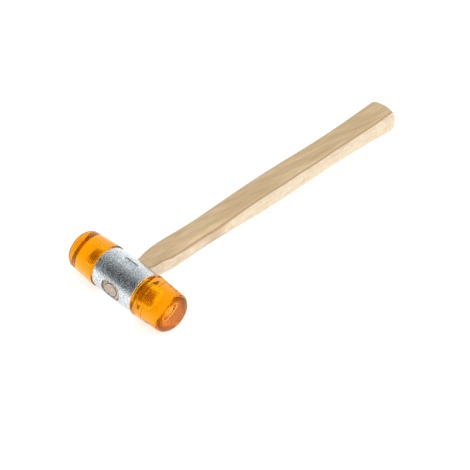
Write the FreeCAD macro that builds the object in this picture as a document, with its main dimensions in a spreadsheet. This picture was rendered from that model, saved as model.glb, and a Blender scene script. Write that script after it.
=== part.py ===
import FreeCAD, Part
import math
import os
import Sketcher

# Soft-face mallet, in millimetres: a cast housing, two screw-in plastic faces, an ash handle.
#
# Every piece is drawn in the mallet's own frame and then laid down as the mallet rests:
#   drawing frame  origin in the middle of the head, +X along the handle, +Y along the head,
#                  +Z up; the handle's axis passes a little above the origin
#   finished frame origin on the ground under the middle of the mallet's box, +Z up
# Lying down, the head stands on the rims of its two faces and the handle on its thick end,
# so the whole mallet is turned a little about the head's axis.

os.makedirs("parts", exist_ok=True)
doc = FreeCAD.newDocument("soft_face_mallet")

# ---------------------------------------------------------------- driving dimensions
SIZES = {
    # the mallet as it lies
    "overall_length": 308.0,
    "rest_tilt": 1.747,
    # cast housing, a slightly barrelled round bar
    "housing_length": 42.2,
    "housing_end_dia": 33.5,
    "housing_mid_dia": 34.7,
    "housing_edge": 0.6,
    # shallow panel on top of the housing, with sloping long sides
    "panel_length": 14.9,
    "panel_width": 7.2,
    "panel_corner": 0.8,
    "panel_floor": 15.9,
    "panel_slope": 45.0,
    "panel_shift": 1.25,
    # plastic face
    "face_base_dia": 35.0,
    "face_tip_dia": 32.1,
    "face_length": 30.2,
    "face_rim": 1.6,
    "face_shoulder": 5.6,
    "face_edge": 0.5,
    "seat_gap": 0.05,
    # threaded stud, half in the face and half in the housing
    "stud_dia": 12.0,
    "thread_pitch": 1.75,
    "thread_depth": 0.95,
    "thread_mouth": 1.45,
    "stud_in_face": 12.5,
    "stud_in_housing": 8.0,
    "stud_chamfer": 1.0,
    "socket_gap": 0.05,
    "socket_spare": 1.0,
    "face_socket_spare": 0.5,
    "face_socket_point": 3.0,
    # tapered eye and the tenon in it
    "eye_rise": 1.0,
    "eye_reach": 20.5,
    "eye_out_width": 19.5,
    "eye_out_height": 13.2,
    "eye_in_width": 18.8,
    "eye_in_height": 12.7,
    "eye_corner": 6.0,
    "eye_gap": 0.05,
    "tenon_end": 16.2,
    "tenon_edge": 0.5,
    # ring wedge driven into the tenon
    "wedge_dia": 10.6,
    "wedge_wall": 1.4,
    "wedge_tip_wall": 0.5,
    "wedge_depth": 10.0,
    "kerf_gap": 0.6,
    # stations of the handle, counted from the head's axis
    "neck_at": 31.5,
    "neck_width": 21.2,
    "neck_height": 15.8,
    "swell_at": 47.0,
    "swell_width": 21.6,
    "swell_height": 16.4,
    "waist_at": 69.0,
    "waist_width": 20.3,
    "waist_height": 16.5,
    "shaft_at": 102.0,
    "shaft_width": 21.9,
    "shaft_height": 16.4,
    "belly_at": 147.5,
    "belly_width": 24.9,
    "belly_height": 16.3,
    "grip_at": 208.0,
    "grip_width": 23.6,
    "grip_height": 16.5,
    "flare_at": 259.0,
    "flare_width": 24.8,
    "flare_height": 17.9,
    "butt_width": 26.6,
    "butt_height": 19.9,
    "handle_corner": 5.6,
    "butt_dome": 26.0,
    "butt_round": 3.0,
}

sheet = doc.addObject("Spreadsheet::Sheet", "sizes")
for row, (alias, value) in enumerate(SIZES.items(), start=1):
    sheet.set("A%d" % row, alias)
    sheet.set("B%d" % row, str(value))
    sheet.setAlias("B%d" % row, alias)
doc.recompute()


# ---------------------------------------------------------------- helpers
EDGE_SLACK = 0.02


def new_body(label):
    """An empty body, laid down with the rest of the mallet."""
    body = doc.addObject("PartDesign::Body", label)
    body.Label = label
    upright = FreeCAD.Rotation(FreeCAD.Vector(0, 1, 0), 1)
    body.Placement = FreeCAD.Placement(FreeCAD.Vector(0, 0, 0), upright)
    body.setExpression("Placement.Base.x", "(sizes.face_base_dia - sizes.overall_length) / 2")
    body.setExpression("Placement.Base.z", "sizes.face_base_dia / 2")
    body.setExpression("Placement.Rotation.Angle", "sizes.rest_tilt")
    return body


def origin_item(body, role):
    """The body's own origin plane or axis of that name."""
    return next(item for item in body.Origin.OriginFeatures if item.Role == role)


def new_sketch(body, name, plane, offset="0"):
    """A sketch on one of the body's origin planes, moved along that plane's normal."""
    sketch = body.newObject("Sketcher::SketchObject", name)
    sketch.AttachmentSupport = [(origin_item(body, plane), "")]
    sketch.MapMode = "FlatFace"
    sketch.setExpression("AttachmentOffset.Base.z", offset)
    return sketch


def raised(sketch, direction):
    """Lifts a sketch of the eye or the handle; direction is the sketch's own axis that is up."""
    sketch.setExpression("AttachmentOffset.Base." + direction, "sizes.eye_rise")
    return sketch


def number(sketch, text):
    """The present value of an expression, read by one of the sketches."""
    value = sketch.evalExpression(text)
    return float(getattr(value, "Value", value))


def fix_point(sketch, geo, end, across, along):
    """Bind one end of an edge to two expressions, measured from the sketch's origin."""
    for kind, axis, text in (("DistanceX", -2, across), ("DistanceY", -1, along)):
        if text == "0":
            sketch.addConstraint(Sketcher.Constraint("PointOnObject", geo, end, axis))
            continue
        value = number(sketch, text)
        index = sketch.addConstraint(Sketcher.Constraint(kind, -1, 1, geo, end, value))
        sketch.setExpression("Constraints[%d]" % index, text)


def outline(sketch, points):
    """A closed outline of straight edges through points given as pairs of expressions."""
    corners = [FreeCAD.Vector(number(sketch, x), number(sketch, y), 0) for x, y in points]
    for here, there in zip(corners, corners[1:] + corners[:1]):
        sketch.addGeometry(Part.LineSegment(here, there), False)
    for geo, (across, along) in enumerate(points):
        before = (geo - 1) % len(points)
        sketch.addConstraint(Sketcher.Constraint("Coincident", before, 2, geo, 1))
        fix_point(sketch, geo, 1, across, along)


def rounded_oblong(sketch, width, height, corner, shift="0"):
    """A rectangle with round corners about the sketch's origin, moved across by shift."""
    half_w = number(sketch, width) / 2
    half_h = number(sketch, height) / 2
    radius = number(sketch, corner)
    middle = number(sketch, shift)
    inner_w = half_w - radius
    inner_h = half_h - radius
    spots = ((inner_w, -inner_h, 270), (inner_w, inner_h, 0), (-inner_w, inner_h, 90),
             (-inner_w, -inner_h, 180))
    arcs = []
    for x, y, start in spots:
        circle = Part.Circle(FreeCAD.Vector(middle + x, y, 0), FreeCAD.Vector(0, 0, 1), radius)
        first = math.radians(start)
        arcs.append(Part.ArcOfCircle(circle, first, first + math.pi / 2))
    for arc in arcs:
        sketch.addGeometry(arc, False)
    for arc, following in zip(arcs, arcs[1:] + arcs[:1]):
        sketch.addGeometry(Part.LineSegment(arc.EndPoint, following.StartPoint), False)
    for side in range(4):
        line = side + 4
        turn = (side + 1) % 4
        sketch.addConstraint(Sketcher.Constraint("Tangent", side, 2, line, 1))
        sketch.addConstraint(Sketcher.Constraint("Tangent", line, 2, turn, 1))
        level = "Vertical" if side in (0, 2) else "Horizontal"
        sketch.addConstraint(Sketcher.Constraint(level, line))
    for side in (1, 2, 3):
        sketch.addConstraint(Sketcher.Constraint("Equal", 0, side))
    reach = (
        ("Radius", (0, radius), corner),
        ("DistanceX", (-1, 1, 4, 1, middle + half_w), "%s + (%s) / 2" % (shift, width)),
        ("DistanceX", (-1, 1, 6, 1, middle - half_w), "%s - (%s) / 2" % (shift, width)),
        ("DistanceY", (-1, 1, 5, 1, half_h), "(%s) / 2" % height),
        ("DistanceY", (-1, 1, 7, 1, -half_h), "-(%s) / 2" % height),
    )
    for kind, places, text in reach:
        index = sketch.addConstraint(Sketcher.Constraint(kind, *places))
        sketch.setExpression("Constraints[%d]" % index, text)


def turned(body, sketch, name, axis, kind="PartDesign::Revolution"):
    """A full turn of a sketch about one of its own axes, added or cut away."""
    feature = body.newObject(kind, name)
    feature.Profile = sketch
    feature.ReferenceAxis = (sketch, [axis])
    feature.Angle = 360
    doc.recompute()
    return feature


def loft(body, sections, name, kind="PartDesign::AdditiveLoft", straight=False):
    """A smooth or straight-sided body through sections, added or cut away."""
    feature = body.newObject(kind, name)
    feature.Profile = sections[0]
    feature.Sections = sections[1:]
    feature.Ruled = straight
    doc.recompute()
    return feature


def pocket(body, sketch, name, length, forward=False):
    """A cut of a given depth behind the sketch, or ahead of it."""
    feature = body.newObject("PartDesign::Pocket", name)
    feature.Profile = sketch
    feature.Reversed = forward
    feature.setExpression("Length", length)
    doc.recompute()
    return feature


def edges_where(feature, test):
    """Names of the edges of a feature whose bounding box passes a test."""
    found = []
    for place, edge in enumerate(feature.Shape.Edges, start=1):
        if test(edge.BoundBox):
            found.append("Edge%d" % place)
    return found


def soften(body, base, name, test, kind, prop, size):
    """A fillet or chamfer on the edges that pass a test."""
    feature = body.newObject(kind, name)
    feature.Base = (base, edges_where(base, test))
    feature.setExpression(prop, size)
    doc.recompute()
    return feature


def flat_at(axis, value):
    """A test for edges that lie in a plane square to an axis."""
    def test(box):
        low = getattr(box, axis + "Min")
        high = getattr(box, axis + "Max")
        return abs(low - value) < EDGE_SLACK and abs(high - value) < EDGE_SLACK
    return test


# ---------------------------------------------------------------- housing
def build_housing():
    body = new_body("head_housing")
    half_length = "sizes.housing_length / 2"
    end_radius = "sizes.housing_end_dia / 2"
    barrel = new_sketch(body, "barrel_outline", "XY_Plane")
    half = number(barrel, half_length)
    end_r = number(barrel, end_radius)
    mid_r = SIZES["housing_mid_dia"] / 2
    foot = FreeCAD.Vector(0, -half, 0)
    head = FreeCAD.Vector(0, half, 0)
    low_rim = FreeCAD.Vector(end_r, -half, 0)
    high_rim = FreeCAD.Vector(end_r, half, 0)
    barrel.addGeometry(Part.LineSegment(head, foot), False)
    barrel.addGeometry(Part.LineSegment(foot, low_rim), False)
    barrel.addGeometry(Part.Arc(low_rim, FreeCAD.Vector(mid_r, 0, 0), high_rim), False)
    barrel.addGeometry(Part.LineSegment(high_rim, head), False)
    for before, geo in ((0, 1), (1, 2), (2, 3), (3, 0)):
        barrel.addConstraint(Sketcher.Constraint("Coincident", before, 2, geo, 1))
    fix_point(barrel, 1, 1, "0", "-" + half_length)
    fix_point(barrel, 2, 1, end_radius, "-" + half_length)
    fix_point(barrel, 3, 1, end_radius, half_length)
    fix_point(barrel, 0, 1, "0", half_length)
    bulge = "(sizes.housing_mid_dia - sizes.housing_end_dia) / 2"
    bow = "((%s)^2 + (%s)^2) / (2 * (%s))" % (half_length, bulge, bulge)
    index = barrel.addConstraint(Sketcher.Constraint("Radius", 2, number(barrel, bow)))
    barrel.setExpression("Constraints[%d]" % index, bow)
    solid = turned(body, barrel, "barrel", "V_Axis")

    ends = (flat_at("Y", half), flat_at("Y", -half))
    solid = soften(body, solid, "rounded_ends", lambda box: any(end(box) for end in ends),
                   "PartDesign::Fillet", "Radius", "sizes.housing_edge")

    outer = raised(new_sketch(body, "eye_outer", "YZ_Plane", "-sizes.eye_reach"), "y")
    rounded_oblong(outer, "sizes.eye_out_width + 2 * sizes.eye_gap",
                   "sizes.eye_out_height + 2 * sizes.eye_gap", "sizes.eye_corner + sizes.eye_gap")
    inner = raised(new_sketch(body, "eye_inner", "YZ_Plane", "sizes.eye_reach"), "y")
    rounded_oblong(inner, "sizes.eye_in_width + 2 * sizes.eye_gap",
                   "sizes.eye_in_height + 2 * sizes.eye_gap", "sizes.eye_corner + sizes.eye_gap")
    loft(body, [outer, inner], "eye", "PartDesign::SubtractiveLoft", straight=True)

    for side, forward in (("", False), ("-", True)):
        end = "left" if forward else "right"
        mouth = new_sketch(body, end + "_socket_mouth", "XZ_Plane", side + half_length)
        radius = "sizes.stud_dia / 2 + sizes.socket_gap"
        circle = Part.Circle(FreeCAD.Vector(0, 0, 0), FreeCAD.Vector(0, 0, 1),
                             number(mouth, radius))
        mouth.addGeometry(circle, False)
        mouth.addConstraint(Sketcher.Constraint("Coincident", 0, 3, -1, 1))
        index = mouth.addConstraint(Sketcher.Constraint("Radius", 0, number(mouth, radius)))
        mouth.setExpression("Constraints[%d]" % index, radius)
        pocket(body, mouth, end + "_socket", "sizes.stud_in_housing + sizes.socket_spare", forward)

    rim_at = "sizes.housing_mid_dia / 2"
    spread = "(%s - sizes.panel_floor) / tan(sizes.panel_slope)" % rim_at
    floor = new_sketch(body, "panel_floor_outline", "XY_Plane", "sizes.panel_floor")
    rounded_oblong(floor, "sizes.panel_width", "sizes.panel_length", "sizes.panel_corner",
                   "sizes.panel_shift")
    rim = new_sketch(body, "panel_rim_outline", "XY_Plane", rim_at)
    rounded_oblong(rim, "sizes.panel_width + 2 * " + spread, "sizes.panel_length",
                   "sizes.panel_corner", "sizes.panel_shift")
    loft(body, [floor, rim], "panel", "PartDesign::SubtractiveLoft", straight=True)
    return body


# ---------------------------------------------------------------- screw-in faces
def build_face(name, side):
    """A plastic face: a slightly tapered drum with a round shoulder and a threaded socket."""
    body = new_body(name)
    base = "(sizes.housing_length / 2 + sizes.seat_gap)"
    tip = "(%s + sizes.face_length)" % base
    socket = "(%s + sizes.stud_in_face + sizes.face_socket_spare)" % base
    bore = "sizes.stud_dia / 2 + sizes.socket_gap"
    base_radius = "sizes.face_base_dia / 2"
    section = new_sketch(body, name + "_outline", "XY_Plane")
    outline(section, [
        (bore, side + base),
        (base_radius, side + base),
        (base_radius, "%s(%s + sizes.face_rim)" % (side, base)),
        ("sizes.face_tip_dia / 2", side + tip),
        ("0", side + tip),
        ("0", "%s(%s + sizes.face_socket_point)" % (side, socket)),
        (bore, side + socket),
    ])
    solid = turned(body, section, name + "_drum", "V_Axis")
    tip_radius = SIZES["face_tip_dia"] / 2
    base_rim = flat_at("Y", number(section, side + base))
    tip_rim = flat_at("Y", number(section, side + tip))
    solid = soften(body, solid, name + "_shoulder",
                   lambda box: tip_rim(box) and box.XMax > tip_radius / 2,
                   "PartDesign::Fillet", "Radius", "sizes.face_shoulder")
    soften(body, solid, name + "_rim",
           lambda box: base_rim(box) and box.XMax > tip_radius,
           "PartDesign::Fillet", "Radius", "sizes.face_edge")
    return body


# ---------------------------------------------------------------- threaded studs
def build_stud(name, side):
    """A steel stud: one end in the face's socket, the other in the housing's.

    Its thread is drawn as a row of rings at the thread's pitch.
    """
    body = new_body(name)
    seat = "sizes.housing_length / 2"
    inner = "(%s - sizes.stud_in_housing)" % seat
    outer = "(%s + sizes.stud_in_face)" % seat
    radius = "sizes.stud_dia / 2"
    nose = "(sizes.stud_dia / 2 - sizes.stud_chamfer)"
    section = new_sketch(body, name + "_outline", "XY_Plane")
    outline(section, [
        ("0", side + inner),
        (nose, side + inner),
        (radius, "%s(%s + sizes.stud_chamfer)" % (side, inner)),
        (radius, "%s(%s - sizes.stud_chamfer)" % (side, outer)),
        (nose, side + outer),
        ("0", side + outer),
    ])
    turned(body, section, name + "_bar", "V_Axis")

    first = "(%s + sizes.thread_pitch)" % inner
    valley = new_sketch(body, name + "_valley", "XY_Plane")
    proud = "(sizes.stud_dia / 2 + sizes.thread_depth)"
    outline(valley, [
        ("sizes.stud_dia / 2 - sizes.thread_depth", side + first),
        (proud, "%s(%s + sizes.thread_mouth)" % (side, first)),
        (proud, "%s(%s - sizes.thread_mouth)" % (side, first)),
    ])
    groove = turned(body, valley, name + "_groove", "V_Axis", "PartDesign::Groove")
    length = SIZES["stud_in_housing"] + SIZES["stud_in_face"]
    turns = int(length / SIZES["thread_pitch"]) - 1
    row = body.newObject("PartDesign::LinearPattern", name + "_thread")
    row.Originals = [groove]
    row.Direction = (origin_item(body, "Y_Axis"), [""])
    row.Reversed = side == "-"
    row.Occurrences = turns
    row.setExpression("Length", "sizes.thread_pitch * %d" % (turns - 1))
    body.Tip = row
    doc.recompute()
    return body


# ---------------------------------------------------------------- handle
BUTT_END = "(sizes.overall_length - sizes.face_base_dia / 2)"
DOME_SWEEP = 65


def wedge_outline(body, name, spare="0"):
    """Half section of the ring wedge, which thins towards the end that is driven in.

    The kerf in the wood has the same section, opened by spare at its mouth.
    """
    section = raised(new_sketch(body, name, "XY_Plane"), "z")
    middle = "sizes.wedge_dia / 2 - sizes.wedge_wall / 2"
    outline(section, [
        ("-sizes.tenon_end", "sizes.wedge_dia / 2 - sizes.wedge_wall"),
        ("-sizes.tenon_end", "sizes.wedge_dia / 2 + " + spare),
        ("sizes.wedge_depth - sizes.tenon_end", middle + " + sizes.wedge_tip_wall / 2"),
        ("sizes.wedge_depth - sizes.tenon_end", middle + " - sizes.wedge_tip_wall / 2"),
    ])
    return section


def dome_waste(body):
    """Half section of the wood outside a dome on the handle's thick end."""
    sketch = raised(new_sketch(body, "dome_waste_outline", "XY_Plane"), "z")
    apex = number(sketch, BUTT_END)
    radius = SIZES["butt_dome"]
    centre = FreeCAD.Vector(apex - radius, 0, 0)
    circle = Part.Circle(centre, FreeCAD.Vector(0, 0, 1), radius)
    dome = Part.ArcOfCircle(circle, 0, math.radians(DOME_SWEEP))
    corner = FreeCAD.Vector(apex + radius, dome.EndPoint.y, 0)
    foot = FreeCAD.Vector(apex + radius, 0, 0)
    sketch.addGeometry(dome, False)
    sketch.addGeometry(Part.LineSegment(dome.EndPoint, corner), False)
    sketch.addGeometry(Part.LineSegment(corner, foot), False)
    sketch.addGeometry(Part.LineSegment(foot, dome.StartPoint), False)
    for before, geo in ((0, 1), (1, 2), (2, 3), (3, 0)):
        sketch.addConstraint(Sketcher.Constraint("Coincident", before, 2, geo, 1))
    sketch.addConstraint(Sketcher.Constraint("PointOnObject", 0, 3, -1))
    sketch.addConstraint(Sketcher.Constraint("Horizontal", 1))
    sketch.addConstraint(Sketcher.Constraint("Vertical", 2))
    fix_point(sketch, 0, 1, BUTT_END, "0")
    fix_point(sketch, 3, 1, "%s + sizes.butt_dome" % BUTT_END, "0")
    height = "sizes.butt_dome * sin(%d)" % DOME_SWEEP
    for kind, places, text in (("Radius", (0, radius), "sizes.butt_dome"),
                               ("DistanceY", (-1, 1, 0, 2, dome.EndPoint.y), height)):
        index = sketch.addConstraint(Sketcher.Constraint(kind, *places))
        sketch.setExpression("Constraints[%d]" % index, text)
    return sketch


def build_handle():
    body = new_body("handle")

    def section(name, at, width, height, corner="sizes.handle_corner"):
        sketch = raised(new_sketch(body, name, "YZ_Plane", at), "y")
        rounded_oblong(sketch, width, height, corner)
        return sketch

    tenon_out = section("tenon_out", "-sizes.eye_reach", "sizes.eye_out_width",
                        "sizes.eye_out_height", "sizes.eye_corner")
    tenon_in = section("tenon_in", "sizes.eye_reach", "sizes.eye_in_width",
                       "sizes.eye_in_height", "sizes.eye_corner")
    loft(body, [tenon_out, tenon_in], "tenon", straight=True)

    stations = [section("shoulder", "sizes.eye_reach", "sizes.eye_in_width",
                        "sizes.eye_in_height", "sizes.eye_corner")]
    for name in ("neck", "swell", "waist", "shaft", "belly", "grip", "flare"):
        at = "sizes.%s_at" % name
        stations.append(section(name, at, "sizes.%s_width" % name, "sizes.%s_height" % name))
    stations.append(section("butt", BUTT_END + " + sizes.tenon_edge", "sizes.butt_width",
                            "sizes.butt_height"))
    loft(body, stations, "shaft_and_grip")
    solid = turned(body, dome_waste(body), "domed_butt", "H_Axis", "PartDesign::Groove")
    dome_start = SIZES["overall_length"] - SIZES["face_base_dia"] / 2 - SIZES["butt_dome"] / 2
    soften(body, solid, "rounded_butt", lambda box: box.XMin > dome_start,
           "PartDesign::Fillet", "Radius", "sizes.butt_round")

    waste = new_sketch(body, "tenon_waste", "YZ_Plane", "-sizes.tenon_end")
    rounded_oblong(waste, "2 * sizes.eye_out_width", "2 * sizes.eye_out_height",
                   "sizes.eye_corner")
    solid = pocket(body, waste, "trimmed_tenon", "sizes.eye_reach")
    soften(body, solid, "eased_tenon", flat_at("X", -SIZES["tenon_end"]),
           "PartDesign::Chamfer", "Size", "sizes.tenon_edge")
    kerf = wedge_outline(body, "wedge_kerf_outline", "sizes.kerf_gap")
    turned(body, kerf, "wedge_kerf", "H_Axis", "PartDesign::Groove")
    return body


def build_ring_wedge():
    body = new_body("ring_wedge")
    turned(body, wedge_outline(body, "wedge_outline"), "wedge_ring", "H_Axis")
    return body


# ---------------------------------------------------------------- assembly
pieces = [
    build_housing(),
    build_face("left_face", ""),
    build_face("right_face", "-"),
    build_stud("left_stud", ""),
    build_stud("right_stud", "-"),
    build_handle(),
    build_ring_wedge(),
]
doc.recompute()

for item in doc.Objects:
    if "Invalid" in item.State or "Error" in item.State:
        raise RuntimeError("%s failed: %s" % (item.Label, item.State))
for piece in pieces:
    shape = piece.Shape
    if shape.isNull() or not shape.isValid() or len(shape.Solids) != 1:
        raise RuntimeError("%s has no sound solid" % piece.Label)

for piece in pieces:
    piece.Shape.exportStep("parts/%s.step" % piece.Label)
    box = piece.Shape.BoundBox
    print("%-14s %8.1f mm3  x %7.2f %7.2f  y %7.2f %7.2f  z %6.2f %6.2f" % (
        piece.Label, piece.Shape.Volume, box.XMin, box.XMax, box.YMin, box.YMax,
        box.ZMin, box.ZMax))
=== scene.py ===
import bmesh
import bpy
import math
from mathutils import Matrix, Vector


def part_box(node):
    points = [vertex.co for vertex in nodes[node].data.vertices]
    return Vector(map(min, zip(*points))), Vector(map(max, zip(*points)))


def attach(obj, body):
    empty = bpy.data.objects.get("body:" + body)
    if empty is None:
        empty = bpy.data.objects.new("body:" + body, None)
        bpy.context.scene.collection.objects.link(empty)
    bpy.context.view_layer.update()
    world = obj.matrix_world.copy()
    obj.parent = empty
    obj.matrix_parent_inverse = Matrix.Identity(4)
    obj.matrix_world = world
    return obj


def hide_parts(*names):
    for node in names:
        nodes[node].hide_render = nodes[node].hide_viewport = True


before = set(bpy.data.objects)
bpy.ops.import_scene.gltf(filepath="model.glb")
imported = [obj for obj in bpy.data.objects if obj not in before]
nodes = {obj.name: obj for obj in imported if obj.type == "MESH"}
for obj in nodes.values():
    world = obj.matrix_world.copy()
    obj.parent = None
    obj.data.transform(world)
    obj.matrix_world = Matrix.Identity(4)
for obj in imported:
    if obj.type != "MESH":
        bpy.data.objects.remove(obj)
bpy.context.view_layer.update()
scene = bpy.context.scene

# ---------------------------------------------------------------- places, in metres
face_low, face_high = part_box("left_face")
HEAD_X = (face_low.x + face_high.x) / 2
HEAD_Z = (face_low.z + face_high.z) / 2
BASE_RADIUS = (face_high.z - face_low.z) / 2
BASE_Y = face_low.y
TIP_Y = face_high.y
TIP_RADIUS = 0.01605
RIM_LENGTH = 0.0016
SHOULDER = 0.0056
RIM_EDGE = 0.0005
stud_low, stud_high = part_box("left_stud")
STUD_RADIUS = (stud_high.z - stud_low.z) / 2
STUD_CHAMFER = 0.001
THREAD_PITCH = 0.00175
THREAD_DEPTH = 0.00095
THREAD_HALF_MOUTH = 0.000725
THREAD_GAP = 0.00005
SOCKET_SPARE = 0.0005
SOCKET_POINT = 0.003
SOCKET_THREAD = 0.5     # depth of the moulded thread, as a part of the stud's
wedge_low, wedge_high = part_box("ring_wedge")
WEDGE_RADIUS = (wedge_high.y - wedge_low.y) / 2
WEDGE_Z = (wedge_low.z + wedge_high.z) / 2

# the pale edge on the handle's right side is painted light and sheen, and it bends inwards at the
# neck
PAINTED_LIGHT_EDGE_Y = -0.0096
PAINTED_LIGHT_EDGE_WANDER = 0.002
PAINTED_LIGHT_EDGE_BEND = 0.004
BEND_FROM_X = -0.100
BEND_TO_X = -0.125
# half width of the dark line at that edge, partly a growth ring and partly painted shade at the
# corner
SHADE_AND_RING_HALF_WIDTH = 0.0008
END_GRAIN_X = -0.1490
END_GRAIN_DEPTH = 0.001
# where the painted shadow in the kerf gap runs, just outside the ring wedge
KERF_MIDDLE = 0.0004
KERF_HALF_WIDTH = 0.0008

# ---------------------------------------------------------------- smoothness of the turned pieces
RINGS_PER_PITCH = 16
FACE_SIDES = 192
STUD_SIDES = 96
RIM_STEPS = 6
SHOULDER_STEPS = 28

# ---------------------------------------------------------------- camera, floor and light
CAMERA_AZIMUTH = -44.84
CAMERA_ELEVATION = 43.48
CAMERA_DISTANCE = 1.3766
CAMERA_LENS = 135.34
SENSOR_WIDTH = 36
AIM_ALONG_HANDLE = 0.10465
AIM_Y = -0.00852
FLOOR_REACH = 3.0
FLOOR_SHADE = 0.65
FLOOR_GLOW = 0.62
TENT_WHITE = (1.10, 1.11, 1.12)
# light in the tent's dark strip, where 0 is level on the -X side, 0.5 is straight up and 1 is
# level on the +X side
STRIP_LIGHT = [(0.0, 1.0), (0.06, 0.3), (0.18, 0.09), (0.37, 0.08), (0.46, 0.25), (0.7, 0.68),
               (0.92, 1.0)]
# the strip fades out past these limits of a direction's Y
STRIP_EDGES = ((0.22, 0.30), (0.78, 0.70))
SOFTBOX_PLACE = (0.5, -1.0, 0.6)
SOFTBOX_SIZE = (1.0, 0.8)
SOFTBOX_POWER = 2.0

# sockets of a Mix node that mixes two colours
MIX_FIRST = 6
MIX_SECOND = 7
MIX_RESULT = 2


# ---------------------------------------------------------------- mesh helpers
def arc_points(centre, radius, start, end, steps):
    """Points on an arc in the (radius, along) half plane, angles in degrees."""
    points = []
    for step in range(steps + 1):
        angle = math.radians(start + (end - start) * step / steps)
        points.append((centre[0] + radius * math.cos(angle), centre[1] + radius * math.sin(angle)))
    return points


def plain_rings(points):
    """Rings of one radius all round, from (radius, along) points."""
    return [(along, lambda turn, radius=radius: radius) for radius, along in points]


def turned_solid(name, rings, ends, material, side, sides):
    """A closed solid about the head's axis.

    rings is a list of (along, radius as a function of the turn, 0 to 1), and ends gives the
    places along the axis of the two points that close it. side is 1 for the left end of the
    head and -1 for the right, and sides is the number of corners in a ring.
    """
    verts, faces = [], []
    for along, radius_at in rings:
        for step in range(sides):
            radius = radius_at(step / sides)
            angle = math.tau * step / sides
            verts.append((HEAD_X + radius * math.cos(angle), side * along,
                          HEAD_Z + radius * math.sin(angle)))
    for ring in range(len(rings) - 1):
        for step in range(sides):
            a = ring * sides + step
            b = ring * sides + (step + 1) % sides
            faces.append((a, b, b + sides, a + sides))
    for ring, along in ((0, ends[0]), (len(rings) - 1, ends[1])):
        pole = len(verts)
        verts.append((HEAD_X, side * along, HEAD_Z))
        for step in range(sides):
            faces.append((pole, ring * sides + step, ring * sides + (step + 1) % sides))
    mesh = bpy.data.meshes.new(name)
    mesh.from_pydata(verts, [], faces)
    outward = bmesh.new()
    outward.from_mesh(mesh)
    bmesh.ops.recalc_face_normals(outward, faces=outward.faces)
    outward.to_mesh(mesh)
    outward.free()
    mesh.polygons.foreach_set("use_smooth", [True] * len(mesh.polygons))
    mesh.materials.append(material)
    piece = bpy.data.objects.new(name, mesh)
    scene.collection.objects.link(piece)
    return piece


def thread_radius(along, turn):
    """Radius of the stud's thread, with flat crests.

    It is a right-hand screw at the head's right end and its mirror image at the left end.
    """
    phase = (along / THREAD_PITCH - turn) % 1
    to_root = abs(phase - 0.5) * THREAD_PITCH
    return STUD_RADIUS - max(0.0, THREAD_DEPTH - to_root * THREAD_DEPTH / THREAD_HALF_MOUTH)


def socket_radius(along, turn):
    """The socket's moulded thread follows the stud's, clear of it and shallower."""
    groove = STUD_RADIUS - thread_radius(along, turn)
    return STUD_RADIUS + THREAD_GAP - SOCKET_THREAD * groove


# ---------------------------------------------------------------- node helpers
def new_material(name):
    material = bpy.data.materials.new(name)
    material.use_nodes = True
    tree = material.node_tree
    return material, tree, tree.nodes["Principled BSDF"]


def put(tree, made, key, value):
    if isinstance(value, bpy.types.NodeSocket):
        tree.links.new(value, made.inputs[key])
    else:
        made.inputs[key].default_value = value


def node(tree, kind, inputs=None, **settings):
    made = tree.nodes.new(kind)
    for key, value in settings.items():
        setattr(made, key, value)
    for key, value in (inputs or {}).items():
        put(tree, made, key, value)
    return made


def maths(tree, operation, *values):
    made = node(tree, "ShaderNodeMath", operation=operation)
    for index, value in enumerate(values):
        put(tree, made, index, value)
    return made.outputs[0]


def ramp(tree, fac, stops):
    made = node(tree, "ShaderNodeValToRGB", {"Fac": fac})
    elements = made.color_ramp.elements
    while len(elements) < len(stops):
        elements.new(0.5)
    for element, (place, colour) in zip(elements, stops):
        element.position = place
        element.color = (*colour, 1)
    return made.outputs["Color"]


def level(tree, fac, stops):
    """A ramp of plain numbers."""
    return ramp(tree, fac, [(place, (value,) * 3) for place, value in stops])


def between(tree, value, start, end, top=1.0, curve="LINEAR"):
    """From 0 where the value is at start to top where it is at end."""
    made = node(tree, "ShaderNodeMapRange", {"Value": value, "From Min": start, "From Max": end,
                                             "To Max": top}, interpolation_type=curve)
    return made.outputs["Result"]


def mix(tree, fac, first, second, blend="MIX"):
    made = node(tree, "ShaderNodeMix", data_type="RGBA", blend_type=blend)
    put(tree, made, 0, fac)
    for key, value in ((MIX_FIRST, first), (MIX_SECOND, second)):
        put(tree, made, key, value if isinstance(value, bpy.types.NodeSocket) else (*value, 1))
    return made.outputs[MIX_RESULT]


def object_space(tree):
    return node(tree, "ShaderNodeTexCoord").outputs["Object"]


def stretched(tree, scale):
    """Object coordinates in metres, scaled separately along each axis."""
    mapping = node(tree, "ShaderNodeMapping", {"Vector": object_space(tree), "Scale": scale})
    return mapping.outputs["Vector"]


def noise(tree, vector, scale, detail, rough=0.55):
    made = node(tree, "ShaderNodeTexNoise", {"Vector": vector, "Scale": scale, "Detail": detail,
                                             "Roughness": rough})
    return made.outputs["Fac"]


def bump(tree, shader, height, strength, distance):
    made = node(tree, "ShaderNodeBump",
                {"Height": height, "Strength": strength, "Distance": distance})
    tree.links.new(made.outputs["Normal"], shader.inputs["Normal"])


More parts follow.
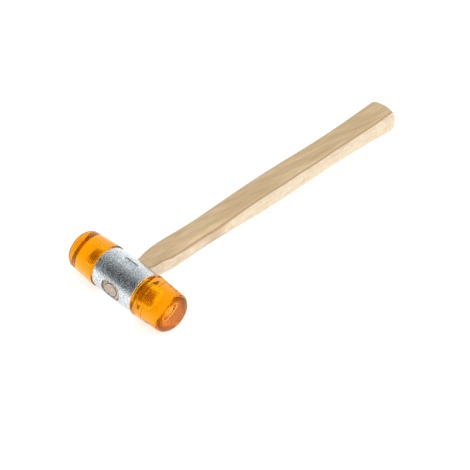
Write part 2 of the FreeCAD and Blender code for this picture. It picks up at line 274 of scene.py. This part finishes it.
# ---------------------------------------------------------------- materials
def amber_plastic():
    """Clear plastic, coloured by depth, with faint ripples and turning marks."""
    material, tree, shader = new_material("amber_plastic")
    shader.inputs["Base Color"].default_value = (1, 0.72, 0.02, 1)
    shader.inputs["Transmission Weight"].default_value = 0.94
    shader.inputs["IOR"].default_value = 1.48
    shader.inputs["Specular IOR Level"].default_value = 0.1
    shader.inputs["Specular Tint"].default_value = (1, 0.5, 0.04, 1)
    even = object_space(tree)
    scuffs = noise(tree, even, scale=260, detail=5, rough=0.65)
    rough = level(tree, scuffs, [(0.3, 0.02), (0.7, 0.07)])
    tree.links.new(rough, shader.inputs["Roughness"])
    cloud = noise(tree, even, scale=130, detail=2)
    lathe_marks = noise(tree, stretched(tree, (60, 1300, 60)), scale=1, detail=2)
    height = maths(tree, "ADD", cloud, maths(tree, "MULTIPLY", lathe_marks, 0.06))
    bump(tree, shader, height, strength=0.14, distance=0.001)
    volume = node(tree, "ShaderNodeVolumeAbsorption",
                  {"Color": (0.999, 0.935, 0.2, 1), "Density": 300})
    out = tree.nodes["Material Output"]
    tree.links.new(volume.outputs["Volume"], out.inputs["Volume"])
    return material


def zinc_casting():
    """Zinc-plated cast metal with a fine bright grain."""
    material, tree, shader = new_material("zinc_casting")
    even = object_space(tree)
    grains = noise(tree, even, scale=850, detail=1, rough=0.6)
    fine = noise(tree, even, scale=2200, detail=1, rough=0.5)
    broad = noise(tree, even, scale=160, detail=3, rough=0.5)
    shader.inputs["Metallic"].default_value = 1.0
    cast = ramp(tree, grains, [(0.36, (0.46, 0.50, 0.52)), (0.50, (0.66, 0.71, 0.73)),
                               (0.64, (0.84, 0.89, 0.91))])
    dull_patch = (0.52, 0.56, 0.58)
    cast = mix(tree, maths(tree, "MULTIPLY", broad, 0.2), cast, dull_patch)
    tree.links.new(cast, shader.inputs["Base Color"])
    rough = level(tree, grains, [(0.3, 0.20), (0.7, 0.12)])
    tree.links.new(rough, shader.inputs["Roughness"])
    height = maths(tree, "ADD", grains, maths(tree, "MULTIPLY", fine, 0.35))
    bump(tree, shader, height, strength=0.9, distance=0.00022)
    return material


def ash_wood():
    """Flat-sawn ash: a darker face grain, a pale right edge of painted light and sheen, and one dark
    line between, partly growth ring and partly painted shade.

    The sawn end in the eye has its own grain, and a painted shadow in the kerf gap just outside the
    ring wedge, on its upper side.
    """
    material, tree, shader = new_material("ash_wood")
    place = node(tree, "ShaderNodeSeparateXYZ", {"Vector": object_space(tree)}).outputs
    grain_slope = 0.16
    across = maths(tree, "MULTIPLY_ADD", place["X"], grain_slope, place["Y"])
    slanted = node(tree, "ShaderNodeCombineXYZ", {
        "X": maths(tree, "MULTIPLY", place["X"], 22),
        "Y": maths(tree, "MULTIPLY", across, 190),
        "Z": maths(tree, "MULTIPLY", place["Z"], 120)}).outputs["Vector"]
    broad = noise(tree, slanted, scale=1, detail=3)
    fibre = noise(tree, stretched(tree, (70, 1500, 1500)), scale=1, detail=3, rough=0.6)
    fleck = noise(tree, stretched(tree, (420, 420, 160)), scale=1, detail=2, rough=0.5)
    # painted light and sheen: past a wandering line that bends in at the neck, the handle's right
    # side turns pale
    waves = noise(tree, stretched(tree, (18, 0, 0)), scale=1, detail=1)
    wander = maths(tree, "SUBTRACT", waves, 0.5)
    bend = between(tree, place["X"], BEND_FROM_X, BEND_TO_X, PAINTED_LIGHT_EDGE_BEND)
    straight = maths(tree, "MULTIPLY_ADD", wander, PAINTED_LIGHT_EDGE_WANDER, PAINTED_LIGHT_EDGE_Y)
    inward = maths(tree, "SUBTRACT", place["Y"], maths(tree, "ADD", straight, bend))
    inside = between(tree, inward, -0.0004, 0.0009)
    # mask of the dark line, partly a growth ring and partly painted shade at the corner
    line = between(tree, maths(tree, "ABSOLUTE", inward), SHADE_AND_RING_HALF_WIDTH, SHADE_AND_RING_HALF_WIDTH / 4)
    face = ramp(tree, broad, [(0.3, (0.55, 0.385, 0.205)), (0.5, (0.63, 0.455, 0.255)),
                              (0.7, (0.74, 0.56, 0.35))])
    # pale colour of the painted light and sheen on the right side, flecked like real side grain
    edge = ramp(tree, fleck, [(0.35, (0.72, 0.58, 0.41)), (0.6, (0.78, 0.65, 0.48))])
    colour = mix(tree, inside, edge, face)
    # colour of that line: growth ring darkened with painted shade
    ring_and_shade_colour = (0.36, 0.21, 0.08)
    colour = mix(tree, maths(tree, "MULTIPLY", line, 0.85), colour, ring_and_shade_colour)
    pores = (0.46, 0.30, 0.15)
    colour = mix(tree, level(tree, fibre, [(0.38, 0.4), (0.52, 0.0)]), colour, pores)
    end_grain = between(tree, place["X"], END_GRAIN_X, END_GRAIN_X - END_GRAIN_DEPTH)
    splits = noise(tree, stretched(tree, (200, 1100, 380)), scale=1, detail=2, rough=0.6)
    sawn = ramp(tree, splits, [(0.36, (0.12, 0.08, 0.05)), (0.46, (0.50, 0.37, 0.24)),
                               (0.66, (0.73, 0.56, 0.40))])
    # painted shadow: the kerf gap just outside the ring wedge is darkened on its upper-right side,
    # where shade falls
    from_ring = node(tree, "ShaderNodeCombineXYZ", {
        "Y": place["Y"], "Z": maths(tree, "SUBTRACT", place["Z"], WEDGE_Z)}).outputs["Vector"]
    reach = node(tree, "ShaderNodeVectorMath", {0: from_ring}, operation="LENGTH").outputs["Value"]
    up_and_right = (0, -0.5, 0.85)
    upward = node(tree, "ShaderNodeVectorMath", {0: from_ring, 1: up_and_right},
                  operation="DOT_PRODUCT").outputs["Value"]
    off_kerf = maths(tree, "ABSOLUTE", maths(tree, "SUBTRACT", reach, WEDGE_RADIUS + KERF_MIDDLE))
    near = between(tree, off_kerf, KERF_HALF_WIDTH, KERF_HALF_WIDTH / 2)
    high = between(tree, upward, 0.001, 0.004)
    kerf_shadow_colour = (0.10, 0.06, 0.04)
    sawn = mix(tree, maths(tree, "MULTIPLY", near, high), sawn, kerf_shadow_colour)
    tree.links.new(mix(tree, end_grain, colour, sawn), shader.inputs["Base Color"])
    shader.inputs["Roughness"].default_value = 0.5
    shader.inputs["Specular IOR Level"].default_value = 0.35
    height = maths(tree, "ADD", fibre, maths(tree, "MULTIPLY", broad, 0.4))
    bump(tree, shader, height, strength=0.2, distance=0.0002)
    return material


def plain_steel(name, colour, rough):
    """Bare metal with fine wear: darker and duller in the worn spots."""
    material, tree, shader = new_material(name)
    wear = noise(tree, object_space(tree), scale=900, detail=4)
    shader.inputs["Metallic"].default_value = 1.0
    dark = tuple(0.7 * part for part in colour)
    tree.links.new(ramp(tree, wear, [(0.3, dark), (0.7, colour)]), shader.inputs["Base Color"])
    tree.links.new(level(tree, wear, [(0.3, rough + 0.15), (0.7, rough)]),
                   shader.inputs["Roughness"])
    return material


amber = amber_plastic()
zinc = zinc_casting()
ash = ash_wood()
stud_steel = plain_steel("stud_steel", (0.84, 0.36, 0.14), rough=0.30)
wedge_steel = plain_steel("wedge_steel", (0.56, 0.56, 0.60), rough=0.25)


def paint(name, material):
    mesh = nodes[name].data
    mesh.materials.clear()
    mesh.materials.append(material)


paint("head_housing", zinc)
paint("handle", ash)
paint("ring_wedge", wedge_steel)


# ---------------------------------------------------------------- faces and studs
def face_rings():
    """The drum from the point of its socket, down the thread, round the rim to the flat end."""
    slope = (BASE_RADIUS - TIP_RADIUS) / (TIP_Y - BASE_Y - RIM_LENGTH)
    lean = math.degrees(math.atan(slope))
    shoulder_centre = (TIP_RADIUS - SHOULDER + slope * SHOULDER / 2, TIP_Y - SHOULDER)
    socket_end = stud_high.y + SOCKET_SPARE
    steps = round((socket_end - BASE_Y) / THREAD_PITCH * RINGS_PER_PITCH)
    rings = []
    for step in range(steps + 1):
        along = socket_end + (BASE_Y - socket_end) * step / steps
        rings.append((along, lambda turn, along=along: socket_radius(along, turn)))
    outside = arc_points((BASE_RADIUS - RIM_EDGE, BASE_Y + RIM_EDGE), RIM_EDGE, -90, 0, RIM_STEPS)
    outside.append((BASE_RADIUS, BASE_Y + RIM_LENGTH))
    outside += arc_points(shoulder_centre, SHOULDER, lean, 90, SHOULDER_STEPS)
    outside.append((TIP_RADIUS / 2, TIP_Y))
    return rings + plain_rings(outside), (socket_end + SOCKET_POINT, TIP_Y)


def build_face(name, side):
    rings, ends = face_rings()
    drum = turned_solid(name + "_drum", rings, ends, amber, side, FACE_SIDES)
    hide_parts(name)
    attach(drum, name)


def build_stud(name, side):
    length = stud_high.y - stud_low.y
    steps = round(length / THREAD_PITCH * RINGS_PER_PITCH)
    rings = []
    for step in range(steps + 1):
        along = stud_low.y + length * step / steps
        from_end = min(along - stud_low.y, stud_high.y - along)
        limit = STUD_RADIUS - max(0.0, STUD_CHAMFER - from_end)
        rings.append((along, lambda turn, along=along, limit=limit:
                      min(limit, thread_radius(along, turn))))
    ends = (stud_low.y, stud_high.y)
    bar = turned_solid(name + "_thread", rings, ends, stud_steel, side, STUD_SIDES)
    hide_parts(name)
    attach(bar, name)


for end, side in (("left", 1), ("right", -1)):
    build_face(end + "_face", side)
    build_stud(end + "_stud", side)


# ---------------------------------------------------------------- floor, light, camera
def build_floor():
    """A pale matt floor that glows a little, so that only the contact shadow shows."""
    material, tree, shader = new_material("studio_floor")
    shader.inputs["Base Color"].default_value = (FLOOR_SHADE, FLOOR_SHADE, FLOOR_SHADE, 1)
    shader.inputs["Roughness"].default_value = 1.0
    shader.inputs["Specular IOR Level"].default_value = 0.0
    shader.inputs["Emission Color"].default_value = (1, 1, 1, 1)
    shader.inputs["Emission Strength"].default_value = FLOOR_GLOW
    corners = [(x * FLOOR_REACH, y * FLOOR_REACH, 0) for x, y in ((-1, -1), (1, -1), (1, 1), (-1, 1))]
    mesh = bpy.data.meshes.new("studio_floor")
    mesh.from_pydata(corners, [], [(0, 1, 2, 3)])
    mesh.materials.append(material)
    floor = bpy.data.objects.new("studio_floor", mesh)
    scene.collection.objects.link(floor)


def build_world():
    """A white light tent with a dark strip up its left side, as seen from the camera."""
    world = bpy.data.worlds.new("light_tent")
    world.use_nodes = True
    tree = world.node_tree
    back = tree.nodes["Background"]
    direction = node(tree, "ShaderNodeTexCoord").outputs["Generated"]
    place = node(tree, "ShaderNodeSeparateXYZ", {"Vector": direction}).outputs
    height = maths(tree, "ARCTAN2", place["Z"], maths(tree, "MULTIPLY", place["X"], -1.0))
    turn = maths(tree, "DIVIDE", height, math.pi)
    light = level(tree, turn, STRIP_LIGHT)
    strip = 1.0
    for outer, inner in STRIP_EDGES:
        edge = between(tree, place["Y"], outer, inner, curve="SMOOTHSTEP")
        strip = maths(tree, "MULTIPLY", strip, edge)
    tent = mix(tree, strip, TENT_WHITE, mix(tree, 1.0, light, TENT_WHITE, "MULTIPLY"))
    seen = node(tree, "ShaderNodeLightPath").outputs["Is Camera Ray"]
    put(tree, back, "Color", mix(tree, seen, tent, (1, 1, 1)))
    back.inputs["Strength"].default_value = 1.0
    scene.world = world


def area_light(name, place, size, power):
    """A rectangular lamp that points at the middle of the scene."""
    light = bpy.data.lights.new(name, "AREA")
    light.shape = "RECTANGLE"
    light.size, light.size_y = size
    light.energy = power
    lamp = bpy.data.objects.new(name, light)
    lamp.location = place
    lamp.rotation_mode = "QUATERNION"
    lamp.rotation_quaternion = (-Vector(place)).to_track_quat("-Z", "Y")
    scene.collection.objects.link(lamp)


def build_camera():
    azimuth = math.radians(CAMERA_AZIMUTH)
    elevation = math.radians(CAMERA_ELEVATION)
    back = Vector((math.sin(azimuth) * math.cos(elevation), -math.cos(azimuth) * math.cos(elevation),
                   math.sin(elevation)))
    target = Vector((HEAD_X + AIM_ALONG_HANDLE, AIM_Y, HEAD_Z - BASE_RADIUS))
    data = bpy.data.cameras.new("photo_view")
    data.sensor_width = SENSOR_WIDTH
    data.lens = CAMERA_LENS
    camera = bpy.data.objects.new("photo_view", data)
    camera.location = target + back * CAMERA_DISTANCE
    camera.rotation_mode = "QUATERNION"
    camera.rotation_quaternion = (-back).to_track_quat("-Z", "Y")
    scene.collection.objects.link(camera)
    scene.camera = camera


build_floor()
build_world()
area_light("right_softbox", SOFTBOX_PLACE, SOFTBOX_SIZE, SOFTBOX_POWER)
build_camera()
scene.view_settings.view_transform = "Standard"
